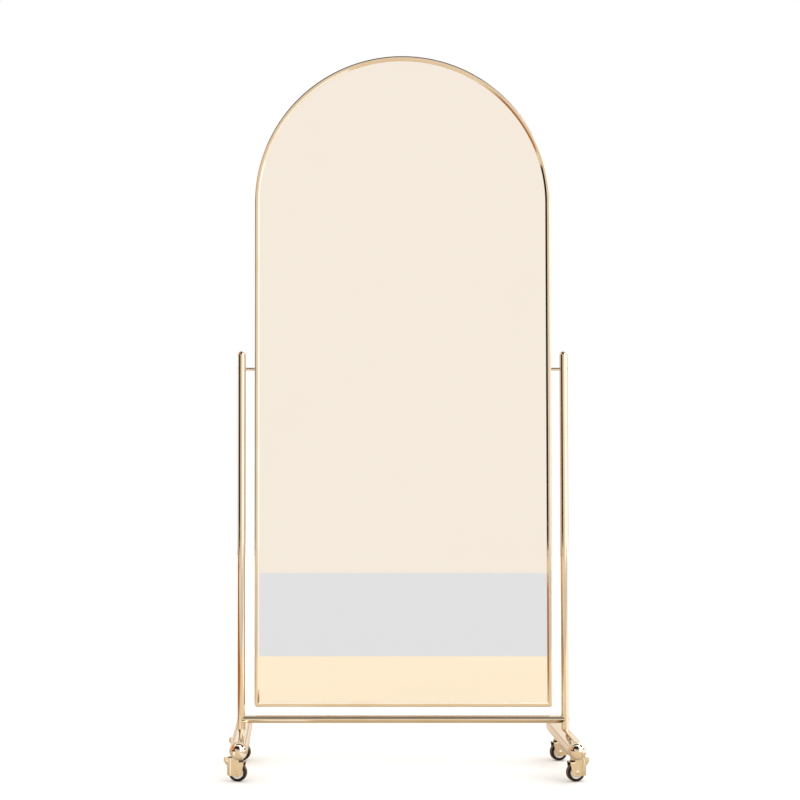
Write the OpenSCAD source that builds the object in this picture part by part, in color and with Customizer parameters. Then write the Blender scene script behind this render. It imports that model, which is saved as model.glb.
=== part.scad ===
// Arched floor mirror that tilts between two posts on a low wheeled stand.
// Millimetres, +Z up, floor at z = 0, the mirror faces -Y, x = 0 is the middle.

/* [Mirror] */
// Outer width of the frame, also the diameter of the half-round top
mirror_w = 704; // [560:1:860]
// Outer height of the frame
mirror_h = 1548; // [1200:1:1700]
// Width of the frame bar seen from the front
frame_face = 11.5; // [10.5:0.5:16]
// Depth of the frame bar, front to back
frame_depth = 20; // [17:0.5:30]
// Width of the hollow chamber of the frame bar
chamber_w = 7.5; // [6.5:0.5:9]
// Wall of the frame bar
frame_wall = 1.4; // [1:0.1:1.8]
// Round on the outer front edge of the frame bar
front_round = 3; // [2:0.25:3.5]
// Round on the outer back edge of the frame bar
back_round = 1.5; // [1:0.25:2]
// Depth from the front face to the foot of the bevel beside the glass
bevel_drop = 3.4; // [2:0.2:4]
// Thickness of the lip that holds the glass
lip_t = 1.2; // [0.8:0.1:1.6]
// Radius of the two lower outer corners
corner_r = 7; // [2:0.25:9]
// Thickness of the mirror glass
glass_t = 4; // [3:0.5:5]
// Thickness of the adhesive tape between lip and glass
tape_t = 0.6; // [0.4:0.1:1]
// Width of the adhesive tape
tape_w = 2.6; // [1.5:0.1:3]
// Thickness of the backing board
board_t = 5; // [3:0.5:6]

/* [Corner keys and clips] */
// Length of each arm of a corner key
key_arm = 30; // [20:1:60]
// Distance of the key screws from the corner
key_screw_at = 20; // [12:1:26]
// Diameter of the key and clip screws
screw_d = 3; // [2:0.5:3.5]
// Diameter of the screw heads
screw_head_d = 5.4; // [4.5:0.1:6]
// Height of the screw heads
screw_head_h = 1.7; // [1:0.1:3]
// Length of the screws under the head
screw_len = 7; // [5:0.5:12]
// Width of a back clip along the frame
clip_w = 14; // [8:1:30]
// Thickness of a back clip
clip_t = 1.2; // [0.8:0.1:2]
// Reach of a back clip over the board
clip_reach = 11; // [6:1:25]
// Number of back clips on each leg of the frame
clips_per_leg = 3; // [1:1:6]
// Number of back clips around the arch
clips_on_arch = 3; // [1:1:7]

/* [Tilt pivot] */
// Height of the pivot above the bottom edge of the frame
pivot_rise = 799; // [650:1:900]
// Gap between the frame and each post
side_gap = 21.5; // [12:0.5:40]
// Diameter of the pivot bolt
pivot_d = 5; // [4:0.5:6]
// Diameter of the spacer sleeve on the pivot bolt
sleeve_d = 7; // [6.8:0.1:9]
// Diameter of the friction washer
washer_d = 8; // [7:0.1:10]
// Thickness of the friction washer
washer_t = 1; // [0.5:0.1:2]
// Outer diameter of the bush in the frame
bush_d = 9; // [8:0.5:12]
// Diameter of the flush bolt heads
bolt_head_d = 9.5; // [9:0.1:12]
// Height of the flush bolt heads
bolt_head_h = 3; // [2:0.1:4]
// Width across flats of the bolts' sockets
bolt_socket = 4; // [3:0.5:5]
// Length of the insert behind each pivot bolt
insert_len = 26; // [18:1:60]

/* [Posts and crossbar] */
// Outer diameter of the posts
post_d = 19; // [16:0.5:25]
// Wall of the posts and of the crossbar
post_wall = 1.5; // [1:0.1:2]
// Height of the post tops above the pivot
post_over = 43; // [32:1:200]
// Length of the spigot under a post cap
cap_spigot = 12; // [6:1:15]
// Outer diameter of the crossbar
crossbar_d = 19; // [14:0.5:19]
// Height of the crossbar's middle above the top of the foot bars
crossbar_rise = 22.5; // [16:0.5:60]
// Gap between the crossbar and the frame
mirror_clear = 20; // [8:1:60]
// Diameter of the crossbar bolts
crossbar_bolt_d = 6; // [4:0.5:6]
// Length of the threaded plugs in the crossbar's ends
crossbar_plug_len = 24; // [14:1:60]

/* [Foot bars] */
// Outer diameter of the foot bars and of their ball ends
foot_d = 42; // [36:0.5:60]
// Wall of the foot bars
foot_wall = 1.5; // [1.2:0.1:2.5]
// Length of a foot bar between the middles of its ball ends
foot_len = 400; // [340:1:600]
// Length of the spigot behind a ball end
ball_spigot = 14; // [8:1:24]
// Wall of the ball ends
ball_wall = 2; // [1.5:0.1:4]
// Diameter of the bolts from the foot bars up into the posts
foot_bolt_d = 8; // [6:0.5:8]
// Diameter of the heads of those bolts
foot_bolt_head_d = 13; // [12:0.5:16]
// Height of the heads of those bolts
foot_bolt_head_h = 4; // [3:0.5:5]
// Height of the threaded plug in the foot of each post
foot_plug_len = 38; // [34:1:90]

/* [Casters] */
// Height from the floor to the underside of the foot bars
caster_h = 56; // [54:0.5:66]
// Distance of the caster stems from the middle of a foot bar
caster_at = 149.5; // [100:0.5:155]
// Angle at which the casters stand, turned outwards
caster_yaw = 13.5; // [0:0.5:45]
// Distance from the stem to the wheel axle, seen from above
trail = 3; // [2:0.5:4]
// Diameter of the wheels
wheel_d = 42; // [36:0.5:42]
// Width of the tyre
tyre_w = 16; // [12:0.5:16.5]
// Round on the shoulders of the tyre
tyre_round = 3.5; // [2:0.25:4]
// Diameter of the rim under the tyre
rim_d = 31; // [24:0.5:33]
// Diameter of the wheel hub
hub_d = 13; // [10:0.5:16]
// Diameter of the axle
axle_d = 6; // [4:0.5:7]
// Diameter of the axle heads
axle_head_d = 9; // [8:0.5:12]
// Height of the axle heads
axle_head_h = 1.5; // [1:0.1:3]
// Outer width of the pressed hood
hood_w = 24; // [23:0.5:30]
// Sheet thickness of the hood
sheet = 1.5; // [1.2:0.1:1.8]
// Round on the hood's upper edge
hood_round = 2.5; // [2.25:0.25:4]
// Distance from the stem to the middle of the hood's round back
hood_back = 16.3; // [15:0.1:24]
// Distance from the stem to the open end of the hood's deck
open_reach = 13; // [10:0.5:15]
// Radius of the hood's ears on both sides of the wheel
ear_r = 9.5; // [7.5:0.5:11]
// Distance that the collar around the bearing reaches past the stem
collar_reach = 2; // [0:0.5:6]
// Height of the lower edge at the hood's round back
back_edge = 14.5; // [12:0.5:20]
// Height at which the heel starts to flare
heel_start = 30; // [24:0.5:32]
// Height at which the heel stands upright again
heel_bend = 44; // [40:0.5:46]
// Height of the heel's top edge
heel_top = 54.5; // [48:0.5:54.5]
// Radius of the flared heel
heel_r = 19.7; // [15:0.1:24]
// Half of the angle that the heel covers
heel_angle = 62; // [30:1:75]
// Height of the upper race cup
cup_h = 7; // [5:0.25:7.25]
// Diameter of the upper race cup
cup_d = 19; // [15:0.5:20]
// Height of the bearing ring between cup and hood
ring_h = 3; // [2.2:0.1:3.2]
// Diameter of the bearing ring
ring_d = 19; // [15:0.5:20]
// Diameter of the threaded stem
stem_d = 8; // [6:0.5:10]
// Length of the stem above the cup
stem_len = 22; // [18:1:30]
// Diameter of the riveted head under the hood's deck
rivet_d = 13; // [11:0.5:15]
// Height of the riveted head
rivet_h = 1.2; // [0.8:0.1:1.4]
// Width across flats of the stem nuts
nut_af = 13; // [12:0.5:17]
// Height of the stem nuts
nut_h = 6.5; // [5:0.5:10]

/* [Clearances] */
// Radial clearance where a piece turns on a pin
run_fit = 0.05; // [0.02:0.01:0.1]
// Gap between pieces that are pushed or bolted together
seat_fit = 0.04; // [0.02:0.01:0.1]
// Gap between flat faces that turn against each other
face_gap = 0.1; // [0.05:0.05:0.3]
// Gap around the glass and the board inside the frame
glass_gap = 0.5; // [0.3:0.1:1]
// Gap between the wheel hub and the hood
hub_gap = 0.3; // [0.2:0.1:0.6]

/* [Hidden] */
$fn = 96;

gold = "#e3c49a";
bright = "#f2ece0";
steel = "#b9b6b0";
LEFT = -1;
RIGHT = 1;
FRONT = -1;
REAR = 1;
over = 1; // how far a cut reaches past the piece it cuts

post_r = post_d / 2;
foot_r = foot_d / 2;
wheel_r = wheel_d / 2;
hood_r = hood_w / 2;
post_bore_r = post_r - post_wall;
foot_z = caster_h + foot_r;
foot_top = caster_h + foot_d;
crossbar_z = foot_top + crossbar_rise;
mirror_z = crossbar_z + crossbar_d / 2 + mirror_clear;
pivot_z = mirror_z + pivot_rise;
post_top = pivot_z + post_over;
half_w = mirror_w / 2;
spring_z = mirror_z + mirror_h - half_w;
leg_h = spring_z - mirror_z;
post_x = half_w + side_gap + post_r;
frame_y = -frame_depth / 2;
back_y = frame_depth / 2;
rebate = bevel_drop + lip_t;
glass_inset = chamber_w + glass_gap;
tape_y = frame_y + rebate;
glass_y = tape_y + tape_t;
board_y = glass_y + glass_t;
board_back = board_y + board_t;
chamber_mid = chamber_w / 2;
hood_top = caster_h - cup_h - ring_h - face_gap;
deck_under = hood_top - sheet;
chase_r = screw_d / 2;
head_seat = post_r - bolt_head_h;

// Cross-section of the frame bar: x runs inwards from the outer face, y back from the front face
module frame_section() {
  translate([front_round, 0])
    square([chamber_w - front_round, frame_depth]);
  translate([0, front_round])
    square([chamber_w, frame_depth - front_round - back_round]);
  translate([back_round, front_round])
    square([chamber_w - back_round, frame_depth - front_round]);
  translate([front_round, front_round])
    circle(front_round);
  translate([back_round, frame_depth - back_round])
    circle(back_round);
  polygon([[chamber_w - frame_wall, 0], [chamber_w, 0], [frame_face, bevel_drop],
           [frame_face, rebate], [chamber_w - frame_wall, rebate]]);
}

// Places a child drawn beside the frame's outer face at x = 0, with the inside of the frame at -x
module on_leg(side, z) {
  translate([side * half_w, 0, z])
    rotate([0, side == LEFT ? 180 : 0, 0])
      children();
}

module on_arch(angle) {
  translate([0, 0, spring_z])
    rotate([0, -angle, 0])
      translate([half_w, 0, 0])
        children();
}

module on_rail(x) {
  translate([x, 0, mirror_z])
    rotate([0, 90, 0])
      children();
}

module at_clips_of_arch() {
  for (side = [LEFT, RIGHT], i = [0 : clips_per_leg - 1])
    on_leg(side, mirror_z + leg_h * (i + 0.5) / clips_per_leg)
      children();
  for (i = [1 : clips_on_arch])
    on_arch(180 * i / (clips_on_arch + 1))
      children();
}

module at_clips_of_rail() {
  for (side = [LEFT, RIGHT])
    on_rail(side * half_w / 2)
      children();
}

// A screw's shank, from the back face of the frame forwards
module screw_shank(r, length) {
  translate([-chamber_mid, back_y, 0])
    rotate([90, 0, 0])
      cylinder(h = length, r = r);
}

module screw(seat_y) {
  translate([-chamber_mid, seat_y, 0])
    rotate([-90, 0, 0])
      difference() {
        union() {
          cylinder(h = screw_head_h, r = screw_head_d / 2);
          translate([0, 0, -screw_len])
            cylinder(h = screw_len, r = screw_d / 2 - seat_fit);
        }
        for (turn = [0, 90])
          rotate([0, 0, turn])
            translate([0, 0, screw_head_h])
              cube([screw_head_d * 0.6, 0.9, screw_head_h], center = true);
      }
}

// The triangle of the frame's front view that lies under (or over) a lower corner's mitre line
module mitre_cut(side, over_line) {
  reach = frame_face + over;
  top_x = over_line ? half_w + over : half_w - reach;
  translate([0, back_y + over, 0])
    rotate([90, 0, 0])
      linear_extrude(frame_depth + 2 * over)
        polygon([[side * (half_w + over), mirror_z - over],
                 [side * (half_w - reach), mirror_z + reach],
                 [side * top_x, over_line ? mirror_z + reach : mirror_z - over]]);
}

// The square at a lower corner that the corner's bend takes the place of
module corner_block(side) {
  translate([side * (half_w - corner_r), 0, mirror_z])
    mirror([side == RIGHT ? 0 : 1, 0, 0])
      translate([0, frame_y - over, -over])
        cube([corner_r + over, frame_depth + 2 * over, corner_r + over]);
}

// The frame bar's outer half, bent around a lower corner
module corner_bend(side) {
  translate([side * (half_w - corner_r), 0, mirror_z + corner_r])
    rotate([90, 0, 0])
      rotate_extrude(angle = 90, start = side == RIGHT ? 270 : 180)
        translate([corner_r, back_y])
          rotate(180)
            intersection() {
              frame_section();
              square([corner_r, frame_depth]);
            }
}

// Front outline of the arch, drawn inset from the frame's outer edge
module arch_outline(inset) {
  round_r = max(corner_r - inset, 0);
  low = mirror_z + inset;
  translate([0, spring_z])
    circle(half_w - inset, $fn = 240);
  translate([-half_w + inset, low + round_r])
    square([mirror_w - 2 * inset, leg_h - inset - round_r]);
  translate([-half_w + inset + round_r, low])
    square([mirror_w - 2 * (inset + round_r), leg_h - inset]);
  if (round_r > 0)
    for (side = [LEFT, RIGHT])
      translate([side * (half_w - inset - round_r), low + round_r])
        circle(round_r);
}

module arch_plate(inset, front, thickness) {
  translate([0, front + thickness, 0])
    rotate([90, 0, 0])
      linear_extrude(thickness)
        arch_outline(inset);
}

// A ring that follows the frame bar, between two insets from its outer edge
module arch_ring(inset, inner_inset, front, thickness) {
  difference() {
    arch_plate(inset, front, thickness);
    arch_plate(inner_inset, front - over, thickness + 2 * over);
  }
}

// The hollow that runs through the whole frame bar
module chamber() {
  arch_ring(frame_wall, chamber_w - frame_wall, frame_y + frame_wall,
            frame_depth - 2 * frame_wall);
}

module frame_arch() {
  color(gold)
    difference() {
      union() {
        translate([0, 0, spring_z])
          rotate([90, 0, 0])
            rotate_extrude(angle = 180, $fn = 240)
              translate([half_w, back_y])
                rotate(180)
                  frame_section();
        for (side = [LEFT, RIGHT]) {
          difference() {
            translate([side * half_w, frame_y, mirror_z])
              mirror([side == RIGHT ? 1 : 0, 0, 0])
                linear_extrude(leg_h)
                  frame_section();
            corner_block(side);
          }
          corner_bend(side);
        }
      }
      chamber();
      for (side = [LEFT, RIGHT]) {
        mitre_cut(side, false);
        on_leg(side, mirror_z + key_screw_at)
          translate([0, over, 0])
            screw_shank(chase_r, frame_wall + 2 * over);
        on_leg(side, pivot_z)
          translate([-chamber_w - over, 0, 0])
            rotate([0, 90, 0])
              cylinder(h = chamber_w + 2 * over, r = bush_d / 2 + seat_fit);
      }
      at_clips_of_arch()
        translate([0, over, 0])
          screw_shank(chase_r, frame_wall + 2 * over);
    }
}

module frame_rail() {
  color(gold)
    difference() {
      union() {
        difference() {
          translate([-half_w, 0, 0])
            rotate([90, 0, 90])
              linear_extrude(mirror_w)
                translate([frame_y, mirror_z])
                  mirror([1, -1])
                    frame_section();
          for (side = [LEFT, RIGHT])
            corner_block(side);
        }
        for (side = [LEFT, RIGHT])
          corner_bend(side);
      }
      chamber();
      for (side = [LEFT, RIGHT]) {
        mitre_cut(side, true);
        on_rail(side * (half_w - key_screw_at))
          translate([0, over, 0])
            screw_shank(chase_r, frame_wall + 2 * over);
      }
      at_clips_of_rail()
        translate([0, over, 0])
          screw_shank(chase_r, frame_wall + 2 * over);
    }
}

module corner_keys() {
  gap = frame_wall + seat_fit;
  color(steel)
    for (side = [LEFT, RIGHT])
      difference() {
        intersection() {
          arch_ring(gap, chamber_w - gap, frame_y + gap, frame_depth - 2 * gap);
          translate([side * half_w, 0, mirror_z])
            cube([2 * key_arm, 2 * frame_depth, 2 * key_arm], center = true);
        }
        on_leg(side, mirror_z + key_screw_at)
          screw_shank(chase_r, screw_len + over);
        on_rail(side * (half_w - key_screw_at))
          screw_shank(chase_r, screw_len + over);
      }
}

module corner_screws() {
  color(steel)
    for (side = [LEFT, RIGHT]) {
      on_leg(side, mirror_z + key_screw_at)
        screw(back_y);
      on_rail(side * (half_w - key_screw_at))
        screw(back_y);
    }
}

module mirror_glass() {
  color("#dfe3e2")
    arch_plate(glass_inset, glass_y, glass_t);
}

module glass_tape() {
  color("#404040")
    arch_ring(glass_inset, glass_inset + tape_w, tape_y, tape_t);
}

module backing_board() {
  color("#8a7a66")
    arch_plate(glass_inset, board_y, board_t);
}

// A clip steps from the frame's back face down to the board
module clip() {
  step = chamber_w + seat_fit;
  difference() {
    translate([0, 0, -clip_w / 2])
      linear_extrude(clip_w)
        mirror([1, 0])
          polygon([[frame_wall, back_y], [frame_wall, back_y + clip_t],
                   [step + clip_t, back_y + clip_t], [step + clip_t, board_back + clip_t],
                   [step + clip_reach, board_back + clip_t], [step + clip_reach, board_back],
                   [step, board_back], [step, back_y]]);
    translate([0, clip_t + over, 0])
      screw_shank(chase_r, clip_t + 2 * over);
  }
}

module back_clips() {
  color(steel) {
    at_clips_of_arch()
      clip();
    at_clips_of_rail()
      clip();
  }
}

module clip_screws() {
  color(steel) {
    at_clips_of_arch()
      screw(back_y + clip_t);
    at_clips_of_rail()
      screw(back_y + clip_t);
  }
}

// Places a child drawn along +x from the frame's outer face at the pivot
module at_pivot(side) {
  translate([side * half_w, 0, pivot_z])
    rotate([0, side * 90, 0])
      children();
}

module pivot_bush(side) {
  color(steel)
    at_pivot(side)
      translate([0, 0, -chamber_w])
        difference() {
          cylinder(h = chamber_w, r = bush_d / 2);
          translate([0, 0, -over])
            cylinder(h = chamber_w + 2 * over, r = pivot_d / 2 + run_fit);
        }
}

// A bolt along +z whose socket head ends at z = 0
module flush_bolt(d, length) {
  difference() {
    union() {
      translate([0, 0, -bolt_head_h])
        cylinder(h = bolt_head_h, r = bolt_head_d / 2);
      translate([0, 0, -length])
        cylinder(h = length - bolt_head_h + 0.01, r = d / 2);
    }
    translate([0, 0, -bolt_head_h * 0.6])
      cylinder(h = bolt_head_h, r = bolt_socket / sqrt(3), $fn = 6);
  }
}

module pivot_bolt(side) {
  color(gold)
    at_pivot(side)
      translate([0, 0, side_gap + post_d])
        flush_bolt(pivot_d, side_gap + post_d + chamber_w - seat_fit);
}

module pivot_sleeve(side) {
  start = face_gap + washer_t;
  color(gold)
    difference() {
      at_pivot(side)
        translate([0, 0, start])
          difference() {
            cylinder(h = side_gap + post_r - start, r = sleeve_d / 2);
            translate([0, 0, -over])
              cylinder(h = side_gap + post_d, r = pivot_d / 2 + seat_fit);
          }
      translate([side * post_x, 0, pivot_z - post_d])
        cylinder(h = 2 * post_d, r = post_r + seat_fit);
    }
}

module friction_washers() {
  color("#d8d2c4")
    for (side = [LEFT, RIGHT])
      at_pivot(side)
        translate([0, 0, face_gap])
          difference() {
            cylinder(h = washer_t, r = washer_d / 2);
            translate([0, 0, -over])
              cylinder(h = washer_t + 2 * over, r = pivot_d / 2 + seat_fit);
          }
}

// Room in a post for a cross bolt: the shank through the inner wall, the head in the outer wall
module cross_bolt_room(side, z, d) {
  translate([side * post_x, 0, z])
    rotate([0, side * 90, 0]) {
      translate([0, 0, -post_r - over])
        cylinder(h = post_d + 2 * over, r = d / 2 + seat_fit);
      translate([0, 0, head_seat])
        cylinder(h = bolt_head_h + over, r = bolt_head_d / 2 + seat_fit);
    }
}

module pivot_inserts() {
  color(steel)
    for (side = [LEFT, RIGHT])
      difference() {
        translate([side * post_x, 0, pivot_z - insert_len / 2])
          cylinder(h = insert_len, r = post_bore_r - seat_fit);
        cross_bolt_room(side, pivot_z, pivot_d);
      }
}

// The round of a foot bar, longer than the bar, to cut what is seated on it
module foot_round(side, gap) {
  translate([side * post_x, foot_len / 2, foot_z])
    rotate([90, 0, 0])
      cylinder(h = foot_len, r = foot_r + gap);
}

module post(side) {
  color(gold)
    difference() {
      translate([side * post_x, 0, foot_z])
        cylinder(h = post_top - post_r - foot_z, r = post_r);
      translate([side * post_x, 0, foot_z - over])
        cylinder(h = post_top, r = post_bore_r);
      foot_round(side, seat_fit);
      cross_bolt_room(side, pivot_z, pivot_d);
      cross_bolt_room(side, crossbar_z, crossbar_bolt_d);
    }
}

module post_cap(side) {
  color(gold)
    translate([side * post_x, 0, post_top - post_r + seat_fit]) {
      intersection() {
        sphere(post_r);
        translate([0, 0, post_r / 2])
          cube([post_d, post_d, post_r], center = true);
      }
      translate([0, 0, -cap_spigot])
        cylinder(h = cap_spigot, r = post_bore_r - seat_fit);
    }
}

module crossbar() {
  reach = post_x - post_r;
  color(gold)
    difference() {
      translate([-post_x, 0, crossbar_z])
        rotate([0, 90, 0])
          difference() {
            cylinder(h = 2 * post_x, r = crossbar_d / 2);
            translate([0, 0, -over])
              cylinder(h = 2 * (post_x + over), r = crossbar_d / 2 - post_wall);
          }
      for (side = [LEFT, RIGHT])
        translate([side * post_x, 0, crossbar_z - crossbar_d])
          cylinder(h = 2 * crossbar_d, r = post_r + seat_fit);
    }
}

module crossbar_plugs() {
  color(steel)
    for (side = [LEFT, RIGHT])
      difference() {
        translate([side * post_x, 0, crossbar_z])
          rotate([0, -side * 90, 0])
            translate([0, 0, post_r / 2])
              difference() {
                cylinder(h = post_r / 2 + crossbar_plug_len,
                         r = crossbar_d / 2 - post_wall - seat_fit);
                translate([0, 0, -over])
                  cylinder(h = post_r + crossbar_plug_len + 2 * over, r = crossbar_bolt_d / 2);
              }
        translate([side * post_x, 0, crossbar_z - crossbar_d])
          cylinder(h = 2 * crossbar_d, r = post_r + seat_fit);
      }
}

module crossbar_bolts() {
  color(gold)
    for (side = [LEFT, RIGHT])
      translate([side * (post_x + post_r), 0, crossbar_z])
        rotate([0, side * 90, 0])
          flush_bolt(crossbar_bolt_d - 2 * seat_fit, post_d + crossbar_plug_len / 2);
}

module foot_bar(side) {
  color(gold)
    difference() {
      foot_round(side, 0);
      translate([side * post_x, foot_len / 2 + over, foot_z])
        rotate([90, 0, 0])
          cylinder(h = foot_len + 2 * over, r = foot_r - foot_wall);
      translate([side * post_x, 0, caster_h - over])
        cylinder(h = foot_d + 2 * over, r = foot_bolt_d / 2 + seat_fit);
      for (end = [FRONT, REAR])
        translate([side * post_x, end * caster_at, caster_h - over])
          cylinder(h = foot_r, r = stem_d / 2 + seat_fit);
    }
}

module foot_cap(side, end) {
  spigot_r = foot_r - foot_wall - seat_fit;
  color(gold)
    translate([side * post_x, end * (foot_len / 2 + seat_fit), foot_z])
      rotate([-end * 90, 0, 0])
        difference() {
          union() {
            intersection() {
              sphere(foot_r);
              translate([0, 0, foot_r / 2])
                cube([foot_d, foot_d, foot_r], center = true);
            }
            translate([0, 0, -ball_spigot])
              cylinder(h = ball_spigot, r = spigot_r);
          }
          sphere(spigot_r - ball_wall);
          translate([0, 0, -ball_spigot - over])
            cylinder(h = ball_spigot + over, r = spigot_r - ball_wall);
        }
}

// Threaded plugs in the feet of the posts, which the crossbar's bolts also pass through
module post_plugs() {
  color(steel)
    for (side = [LEFT, RIGHT])
      difference() {
        translate([side * post_x, 0, foot_z])
          cylinder(h = foot_r + foot_plug_len, r = post_bore_r - seat_fit);
        foot_round(side, seat_fit);
        translate([side * post_x, 0, foot_z])
          cylinder(h = foot_r + crossbar_rise - crossbar_bolt_d, r = foot_bolt_d / 2);
        cross_bolt_room(side, crossbar_z, crossbar_bolt_d);
      }
}

module foot_bolts() {
  shank = foot_d + crossbar_rise - crossbar_bolt_d - over;
  color(gold)
    for (side = [LEFT, RIGHT])
      translate([side * post_x, 0, caster_h])
        difference() {
          union() {
            translate([0, 0, -foot_bolt_head_h])
              cylinder(h = foot_bolt_head_h, r = foot_bolt_head_d / 2);
            cylinder(h = shank, r = foot_bolt_d / 2 - seat_fit);
          }
          translate([0, 0, -foot_bolt_head_h - over])
            cylinder(h = foot_bolt_head_h * 0.6 + over, r = bolt_socket / sqrt(3), $fn = 6);
        }
}

// Places a child drawn around a caster's stem, with the closed back of the hood at +x
module at_caster(side, end) {
  translate([side * post_x, end * caster_at, 0])
    rotate([0, 0, side == RIGHT ? caster_yaw : 180 - caster_yaw])
      children();
}

module at_axle() {
  translate([trail, 0, wheel_r])
    rotate([90, 0, 0])
      children();
}

// Stem with its upper race cup and the riveted head that carries the hood
module caster_stem(side, end) {
  neck_r = stem_d / 2;
  color(gold)
    at_caster(side, end)
      rotate_extrude()
        polygon([[0, deck_under - face_gap - rivet_h],
                 [rivet_d / 2 - rivet_h / 2, deck_under - face_gap - rivet_h],
                 [rivet_d / 2, deck_under - face_gap - rivet_h / 2],
                 [rivet_d / 2, deck_under - face_gap],
                 [neck_r, deck_under - face_gap],
                 [neck_r, caster_h - cup_h],
                 [cup_d / 2, caster_h - cup_h],
                 [cup_d / 2, caster_h - cup_h * 0.6],
                 [cup_d / 2 - cup_h * 0.3, caster_h],
                 [neck_r, caster_h],
                 [neck_r, caster_h + stem_len - 1],
                 [neck_r - 1, caster_h + stem_len],
                 [0, caster_h + stem_len]]);
}

module bearing_rings() {
  color("#2b2826")
    for (side = [LEFT, RIGHT], end = [FRONT, REAR])
      at_caster(side, end)
        translate([0, 0, hood_top + face_gap])
          difference() {
            rotate_extrude() {
              square([ring_d / 2 - ring_h / 2, ring_h]);
              translate([ring_d / 2 - ring_h / 2, ring_h / 2])
                circle(ring_h / 2);
            }
            translate([0, 0, -over])
              cylinder(h = ring_h + 2 * over, r = stem_d / 2 + seat_fit);
          }
}

module stem_nuts() {
  bore_r = foot_r - foot_wall;
  sag = bore_r - sqrt(pow(bore_r, 2) - pow(nut_af / sqrt(3), 2));
  color(steel)
    for (side = [LEFT, RIGHT], end = [FRONT, REAR])
      translate([side * post_x, end * caster_at, caster_h + foot_wall + sag])
        difference() {
          cylinder(h = nut_h, r = nut_af / sqrt(3), $fn = 6);
          translate([0, 0, -over])
            cylinder(h = nut_h + 2 * over, r = stem_d / 2 + seat_fit);
        }
}

// Hood's outline seen from above: straight sides, round closed back
module hood_plan(r, open_x) {
  translate([hood_back, 0])
    circle(r);
  translate([open_x, -r])
    square([hood_back - open_x, 2 * r]);
}

// Half section of an upright can with a rounded upper edge
module can_section(r, h, edge) {
  square([r, h - edge]);
  square([r - edge, h]);
  translate([r - edge, h - edge])
    circle(edge);
}

// A can with straight sides that start at open_x and a round closed back
module long_can(r, h, edge, open_x) {
  translate([hood_back, 0, 0])
    rotate_extrude()
      intersection() {
        can_section(r, h, edge);
        square([r, h]);
      }
  translate([open_x, 0, 0])
    rotate([90, 0, 90])
      linear_extrude(hood_back - open_x) {
        can_section(r, h, edge);
        mirror([1, 0])
          can_section(r, h, edge);
      }
}

// Side view of the hood: slanted open edge, ears beside the wheel, closed round back
module hood_side() {
  back_x = hood_back + hood_r + over;
  translate([0, wheel_r])
    circle(ear_r);
  polygon([[0, wheel_r - ear_r], [0, wheel_r], [-ear_r, wheel_r], [-open_reach, hood_top - hood_round],
           [-open_reach, hood_top + over], [back_x, hood_top + over], [back_x, back_edge]]);
}

// Collar that stands on the deck's edge around the bearing
module collar() {
  translate([0, 0, hood_top - hood_round])
    linear_extrude(heel_top - hood_top + hood_round)
      difference() {
        hood_plan(hood_r, -collar_reach);
        hood_plan(hood_r - sheet, -collar_reach - over);
      }
}

// Flared heel around the closed back of the hood
module heel() {
  inner = heel_r - sheet;
  translate([hood_back, 0, 0])
    rotate([0, 0, -heel_angle])
      rotate_extrude(angle = 2 * heel_angle)
        polygon([[hood_r - sheet, heel_start], [hood_r, heel_start], [heel_r, heel_bend],
                 [heel_r, heel_top], [inner, heel_top], [inner, heel_bend + sheet / 2],
                 [hood_r - sheet, heel_start + 2 * sheet]]);
}

module caster_fork(side, end) {
  color(gold)
    at_caster(side, end)
      difference() {
        union() {
          intersection() {
            difference() {
              long_can(hood_r, hood_top, hood_round, -open_reach);
              translate([0, 0, -over])
                long_can(hood_r - sheet, deck_under + over, hood_round - sheet, -open_reach - over);
            }
            translate([0, hood_r + over, 0])
              rotate([90, 0, 0])
                linear_extrude(hood_w + 2 * over)
                  hood_side();
          }
          heel();
          collar();
        }
        translate([0, 0, deck_under - over])
          cylinder(h = sheet + 2 * over, r = stem_d / 2 + run_fit);
        at_axle()
          cylinder(h = hood_w + 2 * over, r = axle_d / 2 + seat_fit, center = true);
      }
}

module axle(side, end) {
  color(bright)
    at_caster(side, end)
      at_axle() {
        cylinder(h = hood_w + 2 * seat_fit, r = axle_d / 2, center = true);
        for (turn = [0, 180])
          rotate([turn, 0, 0])
            translate([0, 0, hood_r + seat_fit - 0.01])
              cylinder(h = axle_head_h, r1 = axle_head_d / 2, r2 = axle_d / 2);
      }
}

module wheel_rim(side, end) {
  hub_half = hood_r - sheet - hub_gap;
  face = tyre_w / 2 - 0.6;
  color(bright)
    at_caster(side, end)
      at_axle()
        rotate_extrude()
          difference() {
            union() {
              translate([0, -hub_half])
                square([hub_d / 2, 2 * hub_half]);
              translate([0, -face])
                square([rim_d / 2, 2 * face]);
            }
            translate([-over, -hub_half - over])
              square([axle_d / 2 + run_fit + over, 2 * (hub_half + over)]);
          }
}

module tyre(side, end) {
  color("#3a2a20")
    at_caster(side, end)
      at_axle()
        rotate_extrude()
          difference() {
            union() {
              translate([0, -tyre_w / 2])
                square([wheel_r - tyre_round, tyre_w]);
              translate([0, -tyre_w / 2 + tyre_round])
                square([wheel_r, tyre_w - 2 * tyre_round]);
              for (y = [-1, 1])
                translate([wheel_r - tyre_round, y * (tyre_w / 2 - tyre_round)])
                  circle(tyre_round);
            }
            translate([-over, -tyre_w])
              square([rim_d / 2 + seat_fit + over, 2 * tyre_w]);
          }
}

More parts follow.
